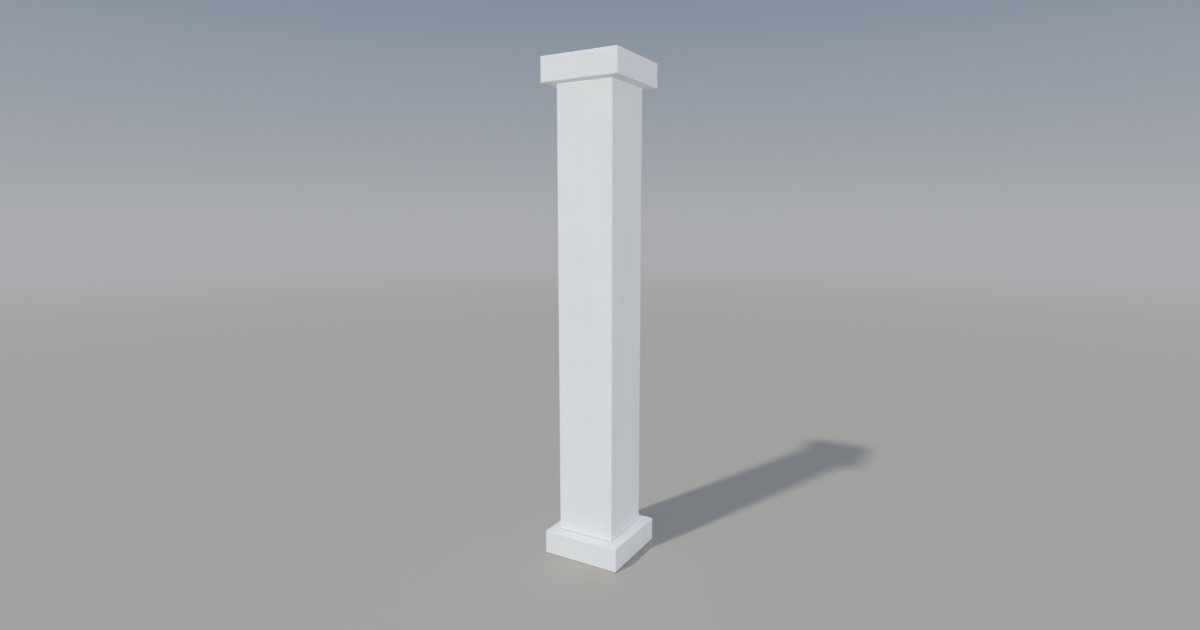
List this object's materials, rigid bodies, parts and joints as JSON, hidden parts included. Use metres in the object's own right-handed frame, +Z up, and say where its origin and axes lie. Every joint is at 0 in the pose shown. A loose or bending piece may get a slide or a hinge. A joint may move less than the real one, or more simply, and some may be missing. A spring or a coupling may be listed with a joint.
{
  "type": "square column",
  "caption": "Plain white square column: a tall square shaft between a square plinth block and a square capital block, standing free to carry a beam.",
  "frame": {"origin": "middle of the plinth's underside, on the ground", "axes": "+Z up the column to the capital; X and Y square to the faces, with -Y the face that looks most towards the picture's camera and +X the face to its right"},
  "size_m": [0.408, 0.408, 2.44],
  "materials": {
    "plinth_paint": "cast stone under matt white masonry paint",
    "shaft_paint": "cast stone under matt white masonry paint",
    "capital_paint": "cast stone under matt white masonry paint"
  },
  "bodies": {
    "root": {"plinth": "plinth_paint", "shaft": "shaft_paint", "capital": "capital_paint"}
  },
  "joints": []
}
